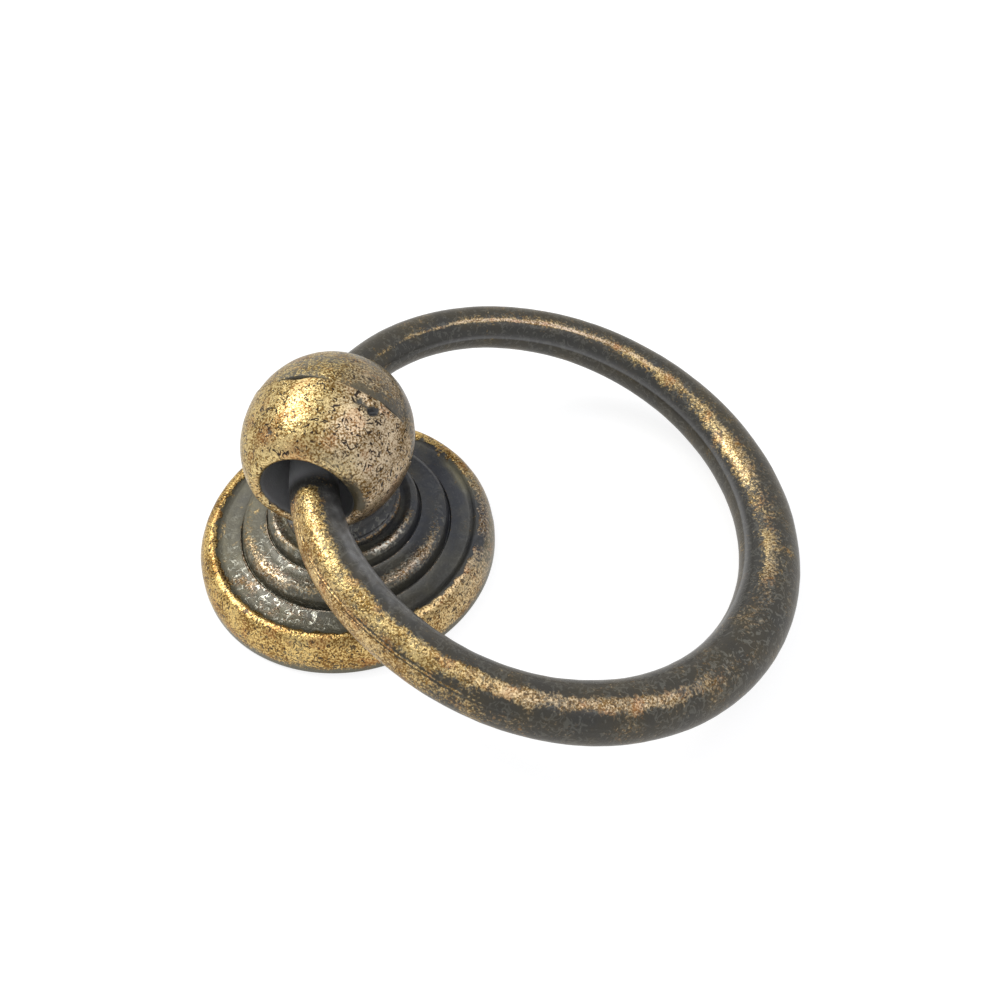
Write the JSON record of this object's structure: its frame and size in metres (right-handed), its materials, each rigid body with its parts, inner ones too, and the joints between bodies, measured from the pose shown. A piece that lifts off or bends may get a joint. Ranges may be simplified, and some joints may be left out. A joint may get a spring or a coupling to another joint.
{
  "type": "ring pull handle",
  "caption": "Pull for a drawer or small door: a loose ring through the cross bore of an oval ball, on a stepped round rosette screwed on from behind.",
  "frame": {"origin": "middle of the rosette's back, at the mouth of the screw's threaded hole", "axes": "+Z away from the door along the post, +Y along the ball's bore, +X the side that the ring lies over to at rest"},
  "size_m": [0.0604, 0.0505, 0.0237],
  "materials": {
    "rosette": "dark patina, rubbed back to brass on the rim and steps",
    "ball_post": "dark patina, rubbed back to brass on the ball",
    "ring": "dark patina, rubbed back to brass along the top"
  },
  "bodies": {
    "mount": {"rosette": "rosette", "ball_post": "ball_post"},
    "ring": {"ring": "ring"}
  },
  "joints": [
    {"name": "ring_swing", "type": "hinge", "parent": "mount", "child": "ring", "pos_m": [0, 0, 0.01633], "axis": [0, -1, 0], "range_deg": [0, 213.6]}
  ]
}
